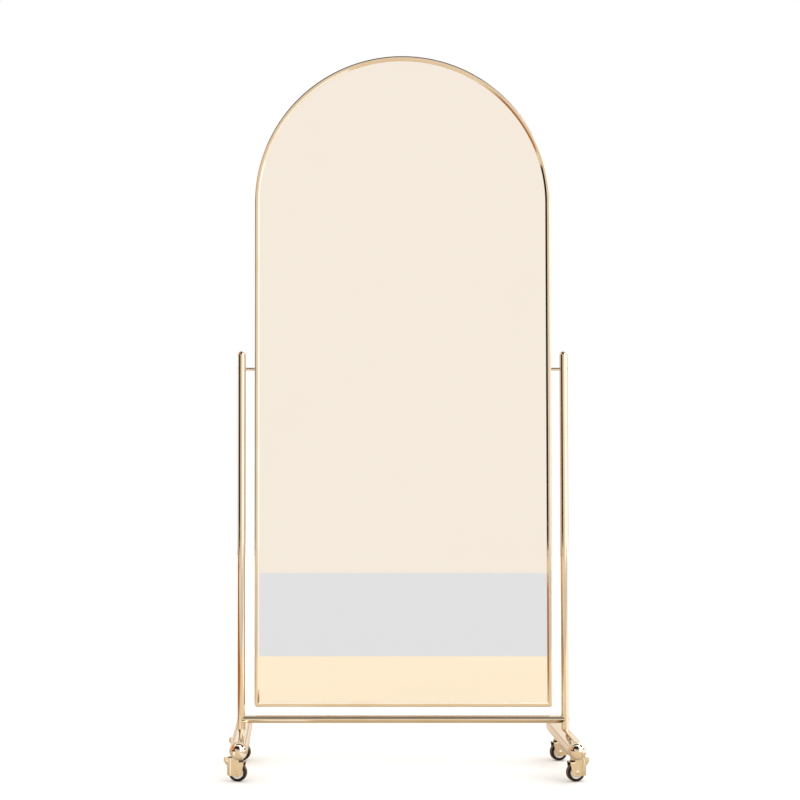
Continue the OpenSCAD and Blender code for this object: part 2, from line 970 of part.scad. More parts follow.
frame_arch();
frame_rail();
corner_keys();
corner_screws();
mirror_glass();
glass_tape();
backing_board();
back_clips();
clip_screws();
pivot_bush(LEFT);  // pivot_bush_left
pivot_bush(RIGHT);  // pivot_bush_right
post(LEFT);  // post_left
post(RIGHT);  // post_right
post_cap(LEFT);  // post_cap_left
post_cap(RIGHT);  // post_cap_right
pivot_bolt(LEFT);  // pivot_bolt_left
pivot_bolt(RIGHT);  // pivot_bolt_right
pivot_sleeve(LEFT);  // pivot_sleeve_left
pivot_sleeve(RIGHT);  // pivot_sleeve_right
pivot_inserts();
friction_washers();
crossbar();
crossbar_plugs();
crossbar_bolts();
foot_bar(LEFT);  // foot_bar_left
foot_bar(RIGHT);  // foot_bar_right
foot_cap(LEFT, FRONT);  // foot_cap_fl
foot_cap(RIGHT, FRONT);  // foot_cap_fr
foot_cap(LEFT, REAR);  // foot_cap_rl
foot_cap(RIGHT, REAR);  // foot_cap_rr
post_plugs();
foot_bolts();
stem_nuts();
bearing_rings();
caster_stem(LEFT, FRONT);  // caster_stem_fl
caster_stem(RIGHT, FRONT);  // caster_stem_fr
caster_stem(LEFT, REAR);  // caster_stem_rl
caster_stem(RIGHT, REAR);  // caster_stem_rr
caster_fork(LEFT, FRONT);  // caster_fork_fl
caster_fork(RIGHT, FRONT);  // caster_fork_fr
caster_fork(LEFT, REAR);  // caster_fork_rl
caster_fork(RIGHT, REAR);  // caster_fork_rr
axle(LEFT, FRONT);  // axle_fl
axle(RIGHT, FRONT);  // axle_fr
axle(LEFT, REAR);  // axle_rl
axle(RIGHT, REAR);  // axle_rr
wheel_rim(LEFT, FRONT);  // wheel_rim_fl
wheel_rim(RIGHT, FRONT);  // wheel_rim_fr
wheel_rim(LEFT, REAR);  // wheel_rim_rl
wheel_rim(RIGHT, REAR);  // wheel_rim_rr
tyre(LEFT, FRONT);  // tyre_fl
tyre(RIGHT, FRONT);  // tyre_fr
tyre(LEFT, REAR);  // tyre_rl
tyre(RIGHT, REAR);  // tyre_rr
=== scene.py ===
import math

import bmesh
import bpy
import numpy as np
from bpy.props import FloatProperty, FloatVectorProperty, PointerProperty
from bpy.types import Operator, Panel, PropertyGroup
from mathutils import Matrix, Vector


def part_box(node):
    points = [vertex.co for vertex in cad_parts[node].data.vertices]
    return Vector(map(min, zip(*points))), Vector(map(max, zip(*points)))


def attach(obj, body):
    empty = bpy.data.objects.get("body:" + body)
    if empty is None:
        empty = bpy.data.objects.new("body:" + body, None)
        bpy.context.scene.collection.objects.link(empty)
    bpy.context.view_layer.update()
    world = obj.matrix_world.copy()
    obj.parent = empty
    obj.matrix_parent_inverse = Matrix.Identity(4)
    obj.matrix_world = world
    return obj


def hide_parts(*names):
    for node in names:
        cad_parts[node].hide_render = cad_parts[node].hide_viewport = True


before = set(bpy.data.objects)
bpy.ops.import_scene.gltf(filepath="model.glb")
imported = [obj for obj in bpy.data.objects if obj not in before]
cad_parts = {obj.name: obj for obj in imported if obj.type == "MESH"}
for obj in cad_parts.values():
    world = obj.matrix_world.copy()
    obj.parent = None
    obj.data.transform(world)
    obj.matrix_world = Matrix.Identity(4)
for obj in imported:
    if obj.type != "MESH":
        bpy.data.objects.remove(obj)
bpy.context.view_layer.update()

bl_info = {
    "name": "Arched Floor Mirror",
    "version": (1, 0, 0),
    "blender": (4, 5, 0),
    "location": "View3D > Sidebar > Floor Mirror",
    "description": "Dresses an arched tilting floor mirror on a wheeled stand",
    "category": "Object",
}

MM = 0.001
MICRON = 1e-6
MERGE = 1e-7
TURNS = 96
SIDES = ("left", "right")
CORNERS = {"fl": (-1, -1), "fr": (1, -1), "rl": (-1, 1), "rr": (1, 1)}
X, Y, Z = np.eye(3)


def low(node):
    return np.array(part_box(node)[0])


def high(node):
    return np.array(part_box(node)[1])


def middle(node):
    return (low(node) + high(node)) / 2


def extent(node):
    return high(node) - low(node)


# Sizes and colours that a user would change

def length(name, description, millimetres):
    return FloatProperty(name=name, description=description, default=millimetres * MM,
                         min=0.0, subtype="DISTANCE", unit="LENGTH", precision=5)


def distance(name, description, metres):
    return FloatProperty(name=name, description=description, default=metres, unit="LENGTH")


def angle(name, description, radians):
    return FloatProperty(name=name, description=description, default=radians, subtype="ANGLE")


def pixels(name, description, default):
    return FloatProperty(name=name, description=description, default=default, subtype="PIXEL")


def share(name, description, default):
    return FloatProperty(name=name, description=description, default=default,
                         min=0.0, max=1.0, subtype="FACTOR")


def colour(name, description, default):
    return FloatVectorProperty(name=name, description=description, default=default,
                               size=3, min=0.0, max=1.0, subtype="COLOR")


class FrameBarSettings(PropertyGroup):
    """Cross-section of the mirror's frame bar"""

    face: length("Face", "Width of the bar seen from the front", 11.5)
    chamber: length("Chamber", "Width of the bar's hollow part", 7.5)
    front_round: length("Front round", "Round on the outer front edge", 3.0)
    back_round: length("Back round", "Round on the outer back edge", 1.5)
    bevel: length("Bevel", "Depth of the bevel beside the glass", 3.4)
    lip: length("Lip", "Thickness of the lip over the glass", 1.2)
    corner: length("Corner", "Radius of the lower outer corners", 7.0)
    seam: length("Seam", "Lift of the arch's ends off the rail at the mitres", 0.06)


class StandSettings(PropertyGroup):
    """Tubes and joints of the stand"""

    wall: length("Wall", "Wall of the tubes", 1.5)
    gap: length("Gap", "Hairline between a tube and its cap", 0.15)


class CasterSettings(PropertyGroup):
    """Pressed hoods, wheels and stems of the casters"""

    yaw: angle("Yaw", "Angle at which the casters stand", math.radians(13.5))
    hood_back: length("Hood back", "Distance from the stem to the middle of the round back", 16.3)
    hood_radius: length("Hood radius", "Half of the hood's outer width", 12.0)
    sheet: length("Sheet", "Thickness of the hood's sheet metal", 1.5)
    shoulder: length("Shoulder", "Round on the hood's upper edge", 2.5)
    ear: length("Ear", "Radius of the hood's ears beside the wheel", 9.5)
    open_reach: length("Open reach", "Distance from the stem to the hood's open end", 13.0)
    collar_reach: length("Collar reach", "How far the collar reaches past the stem", 2.0)
    back_edge: length("Back edge", "Height of the lower edge at the round back", 14.5)
    heel_start: length("Heel start", "Height at which the heel starts to flare", 36.0)
    heel_bend: length("Heel bend", "Height at which the heel stands upright", 46.0)
    heel_top: length("Heel top", "Height of the heel's top edge", 54.2)
    collar_top: length("Collar top", "Height of the collar's top edge", 54.5)
    heel_radius: length("Heel radius", "Radius of the flared heel", 19.7)
    heel_angle: angle("Heel angle", "Half of the angle the heel covers", math.radians(62))
    rim_radius: length("Rim radius", "Radius of the rim under the tyre", 14.25)
    tyre_round: length("Tyre round", "Round on the tyre's shoulders", 3.5)


class FinishSettings(PropertyGroup):
    """Colours and polish of the metals, rubber and board"""

    gold: colour("Gold", "Plated colour of frame and stand", (0.775, 0.675, 0.540))
    gold_deep: colour("Deep gold", "Colour where the plating is a little thicker",
                      (0.745, 0.635, 0.490))
    polish: share("Polish", "Roughness of the polished plating", 0.055)
    haze: share("Haze", "Roughness that handling adds", 0.07)
    tyre: colour("Tyre", "Colour of the tyre's side walls", (0.018, 0.009, 0.004))
    tread: colour("Tread", "Colour of the worn tread", (0.090, 0.050, 0.026))
    rim: colour("Rim", "Colour of the wheel core", (0.95, 0.94, 0.92))
    board: colour("Board", "Colour of the backing board", (0.30, 0.215, 0.145))
    steel: colour("Steel", "Colour of screws and clips", (0.56, 0.55, 0.53))


class StudioSettings(PropertyGroup):
    """Camera, floor and light"""

    camera_at: FloatVectorProperty(name="Camera", description="Place of the camera",
                                   default=(-0.2323, -4.649, 0.7677), subtype="TRANSLATION",
                                   unit="LENGTH")
    pitch: angle("Pitch", "Upward tilt of the camera", 0.0374)
    focal_px: pixels("Focal length", "Focal length in image pixels", 1954.0)
    image_px: pixels("Image", "Width of the square image", 800.0)
    principal_x: pixels("Centre x", "Column the camera points at", 305.1)
    principal_y: pixels("Centre y", "Row the camera points at", 372.2)
    floor_front: distance("Floor front", "Reach of the floor to the front", 7.15)
    floor_side: distance("Floor side", "Reach of the floor to the sides and the back", 9.0)
    floor: colour("Floor", "Colour of the floor under the mirror", (0.93, 0.925, 0.915))
    floor_warm: colour("Warm floor", "Colour of the floor as the metal reflects it",
                       (0.75, 0.635, 0.475))
    # The brown floor is the wood's tone with painted shade.
    floor_brown: colour("Brown floor", "Colour of the reflected floor on the left",
                        (0.36, 0.16, 0.07))
    floor_grey: colour("Grey floor", "Colour of the far floor as the glass reflects it",
                       (0.52, 0.52, 0.53))
    brown_at: distance("Brown at", "Distance to the left at which brown starts", 1.25)
    grey_at: distance("Grey at", "Distance in front at which grey starts", 2.5)
    backdrop: colour("Backdrop", "Colour of the backdrop that the glass reflects",
                     (0.960, 0.862, 0.752))


SETTINGS = {
    "mirror_bar": FrameBarSettings,
    "mirror_stand": StandSettings,
    "mirror_caster": CasterSettings,
    "mirror_finish": FinishSettings,
    "mirror_studio": StudioSettings,
}


# Shader graphs

class Signal:
    """An output socket of a shader graph. Arithmetic on it adds Math nodes."""

    def __init__(self, graph, socket):
        self.graph = graph
        self.socket = socket

    def __add__(self, other):
        return self.graph.math("ADD", self, other)

    def __radd__(self, other):
        return self.graph.math("ADD", other, self)

    def __sub__(self, other):
        return self.graph.math("SUBTRACT", self, other)

    def __rsub__(self, other):
        return self.graph.math("SUBTRACT", other, self)

    def __mul__(self, other):
        return self.graph.math("MULTIPLY", self, other)

    def __rmul__(self, other):
        return self.graph.math("MULTIPLY", other, self)

    def __neg__(self):
        return self.graph.math("MULTIPLY", self, -1.0)


class Graph:
    """A node tree that is written as expressions."""

    def __init__(self, tree):
        self.tree = tree
        tree.nodes.clear()

    def node(self, kind, settings=None, **inputs):
        """Adds a node: its settings first, then the values or links of its sockets by name."""
        made = self.tree.nodes.new(kind)
        for key, value in (settings or {}).items():
            setattr(made, key, value)
        for key, value in inputs.items():
            self.feed(made, key, value)
        return made

    def feed(self, made, key, value):
        """Sets or links a socket, given by name or, where names repeat, by i and its number."""
        slot = int(key[1:]) if key[0] == "i" and key[1:].isdigit() else key.replace("_", " ")
        socket = made.inputs[slot]
        if isinstance(value, Signal):
            self.tree.links.new(value.socket, socket)
        elif socket.type == "RGBA":
            socket.default_value = (*value, 1.0)
        else:
            socket.default_value = value

    def out(self, made, name=0):
        return Signal(self, made.outputs[name])

    def math(self, operation, *values):
        made = self.node("ShaderNodeMath", {"operation": operation},
                         **{f"i{n}": v for n, v in enumerate(values)})
        return self.out(made)

    def mix(self, factor, first, second):
        """Colour between first and second."""
        made = self.node("ShaderNodeMix", {"data_type": "RGBA"}, i0=factor, i6=first, i7=second)
        return self.out(made, 2)

    def layered(self, base, layers):
        """The base colour with each layer, a mask and its colour, laid over it in turn."""
        for mask, shade in layers:
            base = self.mix(mask, base, shade)
        return base

    def object_space(self, scale=(1.0, 1.0, 1.0)):
        coordinate = self.out(self.node("ShaderNodeTexCoord"), "Object")
        return self.out(self.node("ShaderNodeMapping", Vector=coordinate, Scale=scale))

    def noise(self, place, scale, detail=3.0, roughness=0.5):
        made = self.node("ShaderNodeTexNoise", Vector=place, Scale=scale, Detail=detail,
                         Roughness=roughness)
        return self.out(made, "Fac")

    def smooth(self, value, start, end, low_end=0.0, high_end=1.0):
        """Eased step of value from start to end."""
        made = self.node("ShaderNodeMapRange", {"interpolation_type": "SMOOTHSTEP"},
                         i0=value, i1=start, i2=end, i3=low_end, i4=high_end)
        return self.out(made)

    def fade(self, value, start, end):
        """Eased step down of value from start to end."""
        return self.smooth(value, start, end, 1.0, 0.0)

    def band(self, value, rise, fall):
        """1 between two edges, eased up over the pair rise and down over the pair fall."""
        return self.smooth(value, *rise) * self.fade(value, *fall)

    def bump(self, height):
        """Normal of a relief whose height is in metres."""
        return self.out(self.node("ShaderNodeBump", Height=height, Distance=1.0, Strength=1.0))


MATERIALS = {}


def material(name, build, *details):
    """The named material. Its graph is built on its first use."""
    if name not in MATERIALS:
        made = bpy.data.materials.new(name)
        made.use_nodes = True
        build(Graph(made.node_tree), *details)
        MATERIALS[name] = made
    return MATERIALS[name]


def surface(graph, shade, roughness, **inputs):
    """Ends a material's graph in a Principled shader with these sockets."""
    shader = graph.node("ShaderNodeBsdfPrincipled", Base_Color=shade, Roughness=roughness,
                        **inputs)
    graph.node("ShaderNodeOutputMaterial", Surface=graph.out(shader))


def times(shade, factor, more=0.0):
    """The shade times factor, plus more, held at white."""
    return tuple(min(1.0, c * factor + more) for c in shade)


def plated_gold(graph, drawn_along):
    """Polished champagne plating: faint drawing lines along one axis, a haze from handling, a few
    specks and a soft waviness."""
    finish = bpy.context.scene.mirror_finish
    place = graph.object_space()
    stretch = [4.0 if axis == drawn_along else 1400.0 for axis in "xyz"]
    lines = graph.noise(graph.object_space(stretch), 1.0, 2.0)
    cloud = graph.smooth(graph.noise(place, 9.0), 0.35, 0.7)
    haze = graph.smooth(graph.noise(place, 34.0, 4.0, 0.62), 0.50, 0.78)
    specks = graph.smooth(graph.noise(place, 900.0, 1.0), 0.74, 0.80)
    wave = graph.noise(place, 55.0, 1.0)
    surface(graph, graph.mix(cloud, finish.gold, finish.gold_deep),
            finish.polish + haze * finish.haze + specks * 0.12, Metallic=1.0,
            Normal=graph.bump(wave * (20 * MICRON) + lines * (1.2 * MICRON)))


def silvered_glass(graph):
    """Mirror silvering: perfectly sharp, with a breath of film and a few specks in its colour."""
    place = graph.object_space()
    spots = graph.smooth(graph.noise(place, 420.0, 1.0), 0.80, 0.84)
    film = graph.smooth(graph.noise(place, 5.0, 4.0, 0.6), 0.52, 0.80)
    shade = graph.mix(spots, (0.955, 0.960, 0.955), (0.90, 0.905, 0.90))
    surface(graph, graph.mix(film * 0.5, shade, (0.94, 0.945, 0.94)), 0.0, Metallic=1.0)


def hardboard(graph):
    """Pressed fibre board: brown fibres, darker flecks and a dry, slightly pitted face."""
    board = bpy.context.scene.mirror_finish.board
    place = graph.object_space()
    fibre = graph.noise(graph.object_space((900.0, 900.0, 260.0)), 1.0, 4.0, 0.65)
    cloud = graph.noise(place, 7.0)
    fleck = graph.smooth(graph.noise(place, 700.0, 2.0), 0.66, 0.72)
    shade = graph.mix(fibre * 0.6 + cloud * 0.4, board, times(board, 1.35))
    surface(graph, graph.mix(fleck * 0.55, shade, times(board, 0.45)), 0.62 + fibre * 0.22,
            Normal=graph.bump(fibre * (60 * MICRON) - fleck * (80 * MICRON)))


def bright_steel(graph):
    """Zinc plated steel: cool grey, brushed fine and a little cloudy."""
    zinc = bpy.context.scene.mirror_finish.steel
    grain = graph.noise(graph.object_space((2200.0, 2200.0, 300.0)), 1.0)
    cloud = graph.noise(graph.object_space(), 240.0)
    surface(graph, graph.mix(cloud, zinc, times(zinc, 0.78)), 0.24 + grain * 0.16,
            Metallic=1.0, Normal=graph.bump(grain * (4 * MICRON)))


def tyre_rubber(graph, part):
    """Brown rubber of the side walls or the worn tread: half-gloss skin, fine grain and dust."""
    rubber = getattr(bpy.context.scene.mirror_finish, part)
    place = graph.object_space()
    grain = graph.noise(place, 1500.0)
    cloud = graph.noise(place, 120.0)
    dust = graph.smooth(cloud, 0.42, 0.75) * 0.5
    surface(graph, graph.mix(dust, rubber, times(rubber, 1.7, 0.006)), 0.34 + cloud * 0.20,
            Specular_IOR_Level=0.22, Normal=graph.bump(grain * (20 * MICRON)))


def wheel_core(graph):
    """Glossy ivory nylon of the wheel cores, with faint flow marks."""
    ivory = bpy.context.scene.mirror_finish.rim
    flow = graph.noise(graph.object_space(), 160.0)
    surface(graph, graph.mix(flow, ivory, times(ivory, 0.94)), 0.16 + flow * 0.10,
            Coat_Weight=0.35, Normal=graph.bump(flow * (10 * MICRON)))


def grained(graph, scale, first, second, roughness, spread, height):
    """A plain skin: one fine grain that changes the shade, the roughness and the relief."""
    grain = graph.noise(graph.object_space(), scale)
    surface(graph, graph.mix(grain, first, second), roughness + grain * spread,
            Normal=graph.bump(grain * height))


def dull_black(graph):
    """Black foam tape and greased bearing races."""
    grained(graph, 1300.0, (0.020, 0.019, 0.018), (0.055, 0.052, 0.048), 0.42, 0.3, 30 * MICRON)


def pale_nylon(graph):
    """Off-white nylon of the friction washers."""
    grained(graph, 600.0, (0.72, 0.68, 0.60), (0.62, 0.58, 0.50), 0.36, 0.2, 10 * MICRON)


def gold(along):
    return material("gold_drawn_" + along, plated_gold, along)


def steel():
    return material("bright_steel", bright_steel)


# Surfaces

def grid_faces(rows, columns, wrap_rows, wrap_columns):
    """Quads between neighbouring points of a grid, joined round where a direction wraps."""
    i = np.arange(rows if wrap_rows else rows - 1)[:, None]
    j = np.arange(columns if wrap_columns else columns - 1)[None, :]
    i_next = (i + 1) % rows
    j_next = (j + 1) % columns
    quads = [i * columns + j, i_next * columns + j, i_next * columns + j_next,
             i * columns + j_next]
    return np.stack(quads, axis=-1).reshape(-1, 4)


class Shell:
    """Collects grids and end caps of one piece, then makes its mesh."""

    def __init__(self):
        self.points = []
        self.faces = []
        self.count = 0

    def grid(self, points, wrap_rows=False, wrap_columns=False, capped=False):
        """Adds a grid of points (row, column, xyz), with its first and last row capped if asked."""
        rows, columns = points.shape[:2]
        quads = grid_faces(rows, columns, wrap_rows, wrap_columns) + self.count
        self.faces += quads.tolist()
        if capped:
            first = np.arange(columns) + self.count
            self.faces += [first.tolist(), (first + (rows - 1) * columns).tolist()]
        self.points.append(points.reshape(-1, 3))
        self.count += rows * columns
        return self

    def piece(self, name, body, finish, node, slot, sharp=35.0):
        """Makes the mesh, with its faces outwards, and puts it in the place of a CAD node."""
        mesh = bpy.data.meshes.new(name)
        mesh.from_pydata(np.concatenate(self.points).tolist(), [], self.faces)
        work = bmesh.new()
        work.from_mesh(mesh)
        bmesh.ops.remove_doubles(work, verts=work.verts, dist=MERGE)
        bmesh.ops.dissolve_degenerate(work, edges=work.edges, dist=MERGE)
        bmesh.ops.recalc_face_normals(work, faces=work.faces)
        work.to_mesh(mesh)
        work.free()
        mesh.shade_smooth()
        mesh.set_sharp_from_angle(angle=math.radians(sharp))
        mesh.materials.append(finish)
        made = bpy.data.objects.new(name, mesh)
        bpy.context.scene.collection.objects.link(made)
        weights = made.modifiers.new("face_weights", "WEIGHTED_NORMAL")
        weights.keep_sharp = True
        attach(made, body)
        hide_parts(node)
        return made


def closed_piece(points, name, finish, node, slot="stand_gold", body="stand"):
    """A piece made of one grid that closes in both directions."""
    shell = Shell().grid(points, wrap_rows=True, wrap_columns=True)
    return shell.piece(name, body, finish, node, slot)


def rounded(corners, steps):
    """Closed outline with each corner (a, b, radius) filleted: the arc's middle lies on the
    corner's bisector, at radius over the sine of half its angle, and the arc ends where it
    touches the sides."""
    corners = np.array(corners, float)
    points = corners[:, :2]
    before = np.roll(points, 1, axis=0) - points
    after = np.roll(points, -1, axis=0) - points
    before /= np.linalg.norm(before, axis=1, keepdims=True)
    after /= np.linalg.norm(after, axis=1, keepdims=True)
    outline = []
    for point, back, ahead, radius in zip(points, before, after, corners[:, 2]):
        half = math.acos(np.clip(back @ ahead, -1, 1)) / 2
        if radius <= 0 or half > math.pi / 2 - 1e-4:
            outline.append(point[None])
            continue
        bisector = (back + ahead) / np.linalg.norm(back + ahead)
        centre = point + bisector * radius / math.sin(half)
        first = point + back * radius / math.tan(half) - centre
        last = point + ahead * radius / math.tan(half) - centre
        t = np.linspace(0, 1, steps + 1)[:, None]
        sweep = math.pi - 2 * half
        arc = (np.sin((1 - t) * sweep) * first + np.sin(t * sweep) * last) / math.sin(sweep)
        outline.append(centre + arc)
    return np.concatenate(outline)


def ring_basis(axis):
    """Two unit vectors square to axis and to each other."""
    axis = axis / np.linalg.norm(axis)
    helper = X if abs(axis[0]) < 0.9 else Y
    first = np.cross(axis, helper)
    first /= np.linalg.norm(first)
    return first, np.cross(axis, first), axis


def turned(outline, origin, axis, turns=TURNS):
    """Outline points (radius, height) carried round axis: origin + height * axis + radius *
    (cos t * e1 + sin t * e2), where e1 and e2 are square to the axis."""
    e1, e2, along = ring_basis(axis)
    t = np.linspace(0, 2 * np.pi, turns, endpoint=False)[:, None, None]
    spoke = np.cos(t) * e1 + np.sin(t) * e2
    return origin + outline[None, :, :1] * spoke + outline[None, :, 1:] * along


def coped_tube(start, end, radius, wall, start_cope=None, end_cope=None, rings=2):
    """Tube from start to end with wall. A coped end follows a crossing tube of radius R whose
    middle line passes through that end: at a point whose offset across the crossing is d, the
    end lies sqrt(R^2 - d^2) short of the line."""
    e1, e2, along = ring_basis(end - start)
    span = np.linalg.norm(end - start)
    t = np.linspace(0, 2 * np.pi, TURNS, endpoint=False)[:, None]
    spoke = np.cos(t) * e1 + np.sin(t) * e2
    loops = []
    for r, order in ((radius, 1), (radius - wall, -1)):
        near = np.zeros((TURNS, 1))
        far = np.full((TURNS, 1), span)
        if start_cope:
            near = near + cope_depth(r * spoke, *start_cope)
        if end_cope:
            far = far - cope_depth(r * spoke, *end_cope)
        share_along = np.linspace(0, 1, rings)[::order]
        place = near + (far - near) * share_along
        loops.append(start + r * spoke[:, None, :] + place[:, :, None] * along)
    return np.concatenate(loops, axis=1)


def cope_depth(offset, crossing_radius, across):
    """Half the chord of a crossing tube of radius R at this offset: sqrt(R^2 - d^2), where d is
    the offset's part along across, and 0 beside the tube."""
    d = (offset @ across)[:, None]
    return np.sqrt(np.maximum(crossing_radius ** 2 - d ** 2, 0))


# Mirror

def bar_outline(bar, depth):
    """Section of the frame bar, as distances in from its outer edge and back from its front, with
    its edges rounded."""
    rebate = bar.bevel + bar.lip
    crease = 0.25 * MM
    corners = [
        (0, 0, bar.front_round), (bar.chamber, 0, 3 * crease),
        (bar.face, bar.bevel, 1.6 * crease), (bar.face, rebate, 1.2 * crease),
        (bar.chamber, rebate, crease), (bar.chamber, depth, crease), (0, depth, bar.back_round),
    ]
    return rounded(corners, 6)


def arch_path(half, bottom, spring, corner, inset, part):
    """Points of the frame's front outline at each inset, one row per station. Both parts run from
    the middle of the left corner's bend to the middle of the right one's: the arch up, round half
    a turn and down, the rail along the bottom."""
    inset = inset[None, :]
    bend = np.maximum(corner - inset, 0)
    setback = np.maximum(corner, inset)
    bend_end = 270 if part == "rail" else 180
    t = np.radians(np.linspace(225, bend_end, 7))[:, None]
    left = np.stack([setback - half + bend * np.cos(t), bottom + setback + bend * np.sin(t)],
                    axis=-1)
    right = left[::-1] * [-1, 1]
    if part == "rail":
        return np.concatenate([left, right])
    turn = np.radians(np.linspace(180, 0, 181))[:, None]
    radius = half - inset
    arch = np.stack([radius * np.cos(turn), spring + radius * np.sin(turn)], axis=-1)
    return np.concatenate([left, arch, right])


class MIRROR_OT_frame_bar(Operator):
    """Sweep the frame bar round the arch and along the bottom rail"""

    bl_idname = "mirror.frame_bar"
    bl_label = "Frame bar"

    def execute(self, context):
        bar = context.scene.mirror_bar
        front, top = low("frame_arch")[1], high("frame_arch")[2]
        bottom = low("frame_rail")[2]
        half = extent("frame_arch")[0] / 2
        section = bar_outline(bar, extent("frame_arch")[1])
        for part, along in (("arch", "z"), ("rail", "x")):
            path = arch_path(half, bottom, top - half, bar.corner, section[:, 0], part)
            depth = np.broadcast_to(front + section[:, 1], path.shape[:2])
            points = np.stack([path[..., 0], depth, path[..., 1]], axis=-1)
            if part == "arch":
                points[[0, -1], :, 2] += bar.seam
            shell = Shell().grid(points, wrap_columns=True, capped=True)
            shell.piece("frame_" + part + "_bar", "mirror", gold(along), "frame_" + part,
                        "frame_gold", 40)
        return {"FINISHED"}


class MIRROR_OT_glass_and_back(Operator):
    """Finish the glass, the tape, the board, and the clips, keys and screws behind them"""

    bl_idname = "mirror.glass_and_back"
    bl_label = "Glass and back"

    def execute(self, context):
        dress(material("silvered_glass", silvered_glass), "mirror_glass")
        dress(material("dull_black", dull_black), "glass_tape")
        dress(material("hardboard", hardboard), "backing_board")
        dress(steel(), "back_clips", "clip_screws", "corner_keys", "corner_screws",
              "pivot_bush_left", "pivot_bush_right")
        return {"FINISHED"}


def dress(finish, *nodes):
    """Gives the CAD nodes' meshes this finish alone."""
    for node in nodes:
        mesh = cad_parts[node].data
        mesh.materials.clear()
        mesh.materials.append(finish)


# Stand

class MIRROR_OT_posts(Operator):
    """Coped posts with their domed caps, bolts, sleeves and washers"""

    bl_idname = "mirror.posts"
    bl_label = "Posts"

    def execute(self, context):
        stand = context.scene.mirror_stand
        spigot = 10 * MM
        for side in SIDES:
            node, cap, bar = "post_" + side, "post_cap_" + side, "foot_bar_" + side
            centre, radius = middle(node), extent(node)[0] / 2
            foot = centre * (X + Y) + Z * middle(bar)[2]
            top = centre * (X + Y) + Z * high(node)[2]
            crossing = (extent(bar)[0] / 2, X)
            tube = coped_tube(foot, top, radius, stand.wall, start_cope=crossing, rings=40)
            closed_piece(tube, "post_tube_" + side, gold("z"), node)
            dome = dome_outline(radius, high(cap)[2] - high(node)[2], stand, spigot)
            closed_piece(turned(dome, top, Z), "post_dome_" + side, gold("z"), cap)
            dress(gold("x"), "pivot_bolt_" + side)
            self.sleeve(side, radius)
        dress(steel(), "pivot_inserts")
        dress(material("pale_nylon", pale_nylon), "friction_washers")
        return {"FINISHED"}

    def sleeve(self, side, post_radius):
        """Spacer tube from the washer to the post, coped where it meets the post."""
        node = "pivot_sleeve_" + side
        washer_x = high(node)[0] if side == "left" else low(node)[0]
        start = middle(node) * (Y + Z) + X * washer_x
        end = start * (Y + Z) + X * middle("post_" + side)[0]
        radius = extent(node)[2] / 2
        wall = radius * 0.27
        tube = coped_tube(start, end, radius, wall, end_cope=(post_radius, Y))
        closed_piece(tube, "pivot_spacer_" + side, gold("x"), node)


def dome_outline(radius, rise, stand, spigot):
    """Half-round dome of the given radius with a hairline under it and a spigot below."""
    t = np.linspace(0, math.pi / 2, 25)
    dome = np.stack([radius * np.cos(t), stand.gap + (rise - stand.gap) * np.sin(t)], axis=-1)
    inner = radius - stand.wall - stand.gap
    neck = 0.4 * stand.gap
    plug = np.array([[0, -spigot], [inner, -spigot], [inner, neck], [radius - stand.gap, neck],
                     [radius, stand.gap]])
    return np.concatenate([plug, dome[1:]])


class MIRROR_OT_crossbar(Operator):
    """Crossbar between the posts, coped at both ends"""

    bl_idname = "mirror.crossbar"
    bl_label = "Crossbar"

    def execute(self, context):
        stand = context.scene.mirror_stand
        left, right = middle("post_left"), middle("post_right")
        left[2] = right[2] = middle("crossbar")[2]
        radius = extent("crossbar")[2] / 2
        crossing = (extent("post_left")[0] / 2, Y)
        tube = coped_tube(left, right, radius, stand.wall, crossing, crossing, rings=40)
        closed_piece(tube, "crossbar_tube", gold("x"), "crossbar")
        dress(steel(), "crossbar_plugs")
        dress(gold("x"), "crossbar_bolts")
        return {"FINISHED"}


class MIRROR_OT_foot_bars(Operator):
    """Foot bars with their ball ends and the bolts under the posts"""

    bl_idname = "mirror.foot_bars"
    bl_label = "Foot bars"

    def execute(self, context):
        stand = context.scene.mirror_stand
        spigot, ball_turns = 12 * MM, 144
        for side in SIDES:
            node = "foot_bar_" + side
            centre, radius = middle(node), extent(node)[0] / 2
            half = Y * extent(node)[1] / 2
            tube = coped_tube(centre - half, centre + half, radius, stand.wall, rings=24)
            closed_piece(tube, "foot_tube_" + side, gold("y"), node)
        for corner, (sign_x, sign_y) in CORNERS.items():
            bar = "foot_bar_" + ("left" if sign_x < 0 else "right")
            outward = Y * sign_y
            radius = extent(bar)[0] / 2
            seat = middle(bar) + outward * extent(bar)[1] / 2
            ball = dome_outline(radius, radius, stand, spigot)
            closed_piece(turned(ball, seat, outward, ball_turns), "ball_end_" + corner,
                         gold("y"), "foot_cap_" + corner)
        dress(gold("z"), "foot_bolts")
        dress(steel(), "post_plugs", "stem_nuts")
        return {"FINISHED"}


# Casters

def stem_axis(corner):
    """Point where the line of a caster's stem meets the floor."""
    return middle("caster_stem_" + corner) * (X + Y)


def caster_angle(caster, corner):
    """Direction from a caster's stem to the closed back of its hood."""
    return caster.yaw if CORNERS[corner][0] > 0 else math.pi - caster.yaw


def axle_direction(caster, corner):
    """Level direction of a caster's axle, a quarter turn from the hood's closed back."""
    turn = caster_angle(caster, corner)
    return np.array([-math.sin(turn), math.cos(turn), 0])


def seat_on_caster(caster, corner, points):
    """Points turned about the stem to the caster's angle, and moved to its place."""
    turn = caster_angle(caster, corner)
    c, s = math.cos(turn), math.sin(turn)
    return points @ np.array([[c, s, 0], [-s, c, 0], [0, 0, 1]]) + stem_axis(corner)


